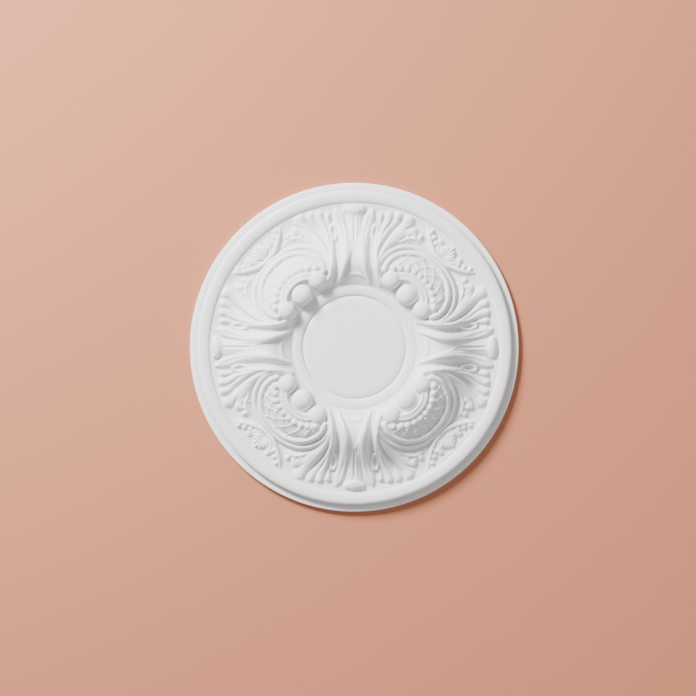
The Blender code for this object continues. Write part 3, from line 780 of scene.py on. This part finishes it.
class Finish:
    """A material and the nodes that make it."""

    def __init__(self, name):
        self.material = bpy.data.materials.new(name)
        self.material.use_nodes = True
        self.tree = self.material.node_tree
        self.shader = self.tree.nodes["Principled BSDF"]
        self.place = self.node("ShaderNodeTexCoord", {}, {}, "Object")

    def node(self, kind, settings, sockets, output=0):
        made = self.tree.nodes.new(kind)
        for name, value in settings.items():
            setattr(made, name, value)
        for name, value in sockets.items():
            self.feed(made.inputs[name], value)
        return Value(self, made.outputs[output])

    def feed(self, socket, value):
        if isinstance(value, Value):
            self.tree.links.new(value.socket, socket)
        else:
            socket.default_value = value

    def noise(self, scale, detail=2.0, roughness=0.5):
        return self.node("ShaderNodeTexNoise", {"noise_dimensions": "3D"},
                         {"Vector": self.place, "Scale": scale, "Detail": detail, "Roughness": roughness})

    def mixed(self, share, first, second):
        """One colour passing into another by a share."""
        return self.node("ShaderNodeMix", {"data_type": "RGBA"}, {0: share, 6: first, 7: second}, 2)

    def bumped(self, height):
        """The surface raised by a height in metres."""
        return self.node("ShaderNodeBump", {}, {"Height": height, "Distance": 1.0, "Strength": 1.0})


# Colours, then patches to the metre and heights in metres of the paint's marks
WHITE = (0.800, 0.800, 0.795, 1)
SHADED_WHITE = (0.735, 0.725, 0.705, 1)
# Painted shade: the darker, warmer white laid into the recesses
PAINTED_SHADE_WHITE = (0.600, 0.585, 0.560, 1)
RAW_PLASTER = (0.640, 0.625, 0.590, 1)
RAW_PLASTER_DARK = (0.540, 0.520, 0.480, 1)
CLOUD_SCALE = 9
MOTTLE_SCALE = 60
BRUSH_SCALE = 160
GRAIN_SCALE = 900
MOTTLE_HEIGHT = 0.00030
BRUSH_HEIGHT = 0.00022
GRAIN_HEIGHT = 0.00005
PAINT_ROUGHNESS = 0.60
PAINT_SPECULAR = 0.42

# The same for the bare plaster of the back
BACK_CLOUD_SCALE = 14
STROKE_SCALE = (18, 1, 190)
HOLE_SCALE = 210
HOLE_PATCH_SCALE = 40
STROKE_HEIGHT = 0.0006
BACK_CLOUD_HEIGHT = 0.0004
HOLE_DEPTH = 0.0005
PLASTER_ROUGHNESS = 0.80
PLASTER_SPECULAR = 0.30
BEHIND = 0.99


def white_paint():
    """Matt white paint over cast plaster: fuller and rougher in the recesses, which are darkened with painted
    shade.
    """
    finish = Finish("matt_white_paint")
    recess = finish.node("ShaderNodeAttribute", {"attribute_name": "recess"}, {}, "Fac")
    clouds = finish.noise(CLOUD_SCALE, 3)
    mottle = finish.noise(MOTTLE_SCALE, 4, 0.6)
    grain = finish.noise(GRAIN_SCALE, 3, 0.6)
    brushed = finish.noise(BRUSH_SCALE, 2)
    tone = (clouds * 0.6 + mottle * 0.4).between(0.35, 0.75)
    colour = finish.mixed(tone * 0.22, WHITE, SHADED_WHITE)
    # Painted shade: the deeper a place lies in the carving, the darker its colour; the same mask makes the
    # paint rougher there
    deep = recess.between(0.10, 0.85) * (0.65 + mottle * 0.5)
    colour = finish.mixed(deep * 0.55, colour, PAINTED_SHADE_WHITE)
    finish.feed(finish.shader.inputs["Base Color"], colour)
    worn = (0 - recess).between(0.15, 0.9)
    roughness = PAINT_ROUGHNESS + mottle * 0.12 + deep * 0.10 - worn * 0.10
    finish.feed(finish.shader.inputs["Roughness"], roughness)
    height = brushed * BRUSH_HEIGHT + mottle * MOTTLE_HEIGHT + grain * GRAIN_HEIGHT
    finish.feed(finish.shader.inputs["Normal"], finish.bumped(height))
    finish.shader.inputs["Specular IOR Level"].default_value = PAINT_SPECULAR
    return finish.material


def raw_plaster():
    """The struck-off back of the casting: bare, rougher plaster with small air holes, darkened with painted
    shade.
    """
    finish = Finish("bare_plaster")
    clouds = finish.noise(BACK_CLOUD_SCALE, 4, 0.6)
    strokes = finish.node("ShaderNodeMapping", {}, {"Vector": finish.place, "Scale": STROKE_SCALE})
    struck = finish.node("ShaderNodeTexNoise", {"noise_dimensions": "3D"},
                         {"Vector": strokes, "Scale": 1.0, "Detail": 3.0})
    cells = finish.node("ShaderNodeTexVoronoi", {"feature": "F1"},
                        {"Vector": finish.place, "Scale": HOLE_SCALE}, "Distance")
    holes = (1 - cells.between(0.06, 0.13)) * finish.noise(HOLE_PATCH_SCALE).between(0.52, 0.60)
    colour = finish.mixed(clouds.between(0.3, 0.75), RAW_PLASTER, RAW_PLASTER_DARK)
    # Painted shade: the air holes are darkened in colour as well as sunk by the bump
    colour = finish.mixed(holes * 0.7, colour, RAW_PLASTER_DARK)
    finish.feed(finish.shader.inputs["Base Color"], colour)
    finish.feed(finish.shader.inputs["Roughness"], PLASTER_ROUGHNESS + clouds * 0.12)
    height = struck * STROKE_HEIGHT + clouds * BACK_CLOUD_HEIGHT - holes * HOLE_DEPTH
    finish.feed(finish.shader.inputs["Normal"], finish.bumped(height))
    finish.shader.inputs["Specular IOR Level"].default_value = PLASTER_SPECULAR
    return finish.material


def paint_rose(rose):
    """Paint on all that shows, bare plaster on the flat back."""
    mesh = rose.data
    mesh.materials.clear()
    mesh.materials.append(white_paint())
    mesh.materials.append(raw_plaster())
    normal = np.empty(len(mesh.polygons) * 3)
    mesh.polygons.foreach_get("normal", normal)
    behind = normal.reshape(-1, 3)[:, 1] > BEHIND
    mesh.polygons.foreach_set("material_index", behind.astype(np.int32))
    mesh.update()


# Backdrop: the plain pale surface that the rose is fixed to
WALL_GAP = 0.0012
WALL_HALF = 3.0
WALL_COLOUR = (0.470, 0.165, 0.085, 1)
WALL_ROUGHNESS = 0.9


def backdrop():
    deselect()
    bpy.ops.mesh.primitive_plane_add(size=2, location=(0, 0, 0))
    wall = bpy.context.object
    wall.name = "backdrop"
    bpy.ops.object.mode_set(mode="EDIT")
    bpy.ops.mesh.select_all(action="SELECT")
    bpy.ops.transform.resize(value=(WALL_HALF, WALL_HALF, 1), center_override=(0, 0, 0))
    bpy.ops.object.mode_set(mode="OBJECT")
    wall.rotation_euler = (math.pi / 2, 0, 0)
    wall.location = (0, WALL_GAP, 0)
    activate(wall)
    bpy.ops.object.transform_apply(location=True, rotation=True, scale=True)
    finish = Finish("pale_backdrop")
    finish.shader.inputs["Base Color"].default_value = WALL_COLOUR
    finish.shader.inputs["Roughness"].default_value = WALL_ROUGHNESS
    behind = finish.node("ShaderNodeNewGeometry", {}, {}, "Backfacing")
    shadow = finish.node("ShaderNodeLightPath", {}, {}, "Is Shadow Ray")
    clear = finish.node("ShaderNodeBsdfTransparent", {}, {})
    surface = Value(finish, finish.shader.outputs[0])
    shown = finish.node("ShaderNodeMixShader", {}, {0: behind.sum("MAXIMUM", behind, shadow), 1: surface,
                                                    2: clear})
    finish.tree.links.new(shown.socket, finish.tree.nodes["Material Output"].inputs["Surface"])
    wall.data.materials.append(finish.material)
    return wall


# Lights: place, width in metres and power in watts; all face the middle of the rose
KEY_LIGHT = ((-1.66, -1.75, 1.92), 1.0, 372)
FILL_LIGHT = ((1.6, -2.6, -0.8), 2.4, 22)
BEHIND_LIGHT = ((0.5, 2.2, 1.0), 1.4, 60)
SKY_COLOUR = (0.95, 0.97, 1.0, 1)
SKY_STRENGTH = 0.40


def area_light(name, place, size, power):
    data = bpy.data.lights.new(name, "AREA")
    data.shape = "DISK"
    data.size = size
    data.energy = power
    lamp = bpy.data.objects.new(name, data)
    lamp.location = place
    lamp.rotation_euler = Vector(place).to_track_quat("Z", "Y").to_euler()
    bpy.context.collection.objects.link(lamp)


def studio():
    area_light("key", *KEY_LIGHT)
    area_light("fill", *FILL_LIGHT)
    area_light("behind", *BEHIND_LIGHT)
    world = bpy.data.worlds.new("studio")
    world.use_nodes = True
    sky = world.node_tree.nodes["Background"]
    sky.inputs["Color"].default_value = SKY_COLOUR
    sky.inputs["Strength"].default_value = SKY_STRENGTH
    bpy.context.scene.world = world


# Camera: straight on, as far off as an 85 mm lens needs
LENS = 85
FILM = 36
CAMERA_DISTANCE = 2.355
CAMERA_PLACE = (-0.00903, -0.0010)


def camera():
    data = bpy.data.cameras.new("camera")
    data.lens = LENS
    data.sensor_width = FILM
    item = bpy.data.objects.new("camera", data)
    item.location = (CAMERA_PLACE[0], -CAMERA_DISTANCE, CAMERA_PLACE[1])
    item.rotation_euler = (math.pi / 2, 0, 0)
    bpy.context.collection.objects.link(item)
    bpy.context.scene.camera = item


rose = carved_rose()
paint_rose(rose)
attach(rose, "root")
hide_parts("ceiling_rose")
backdrop()
studio()
camera()
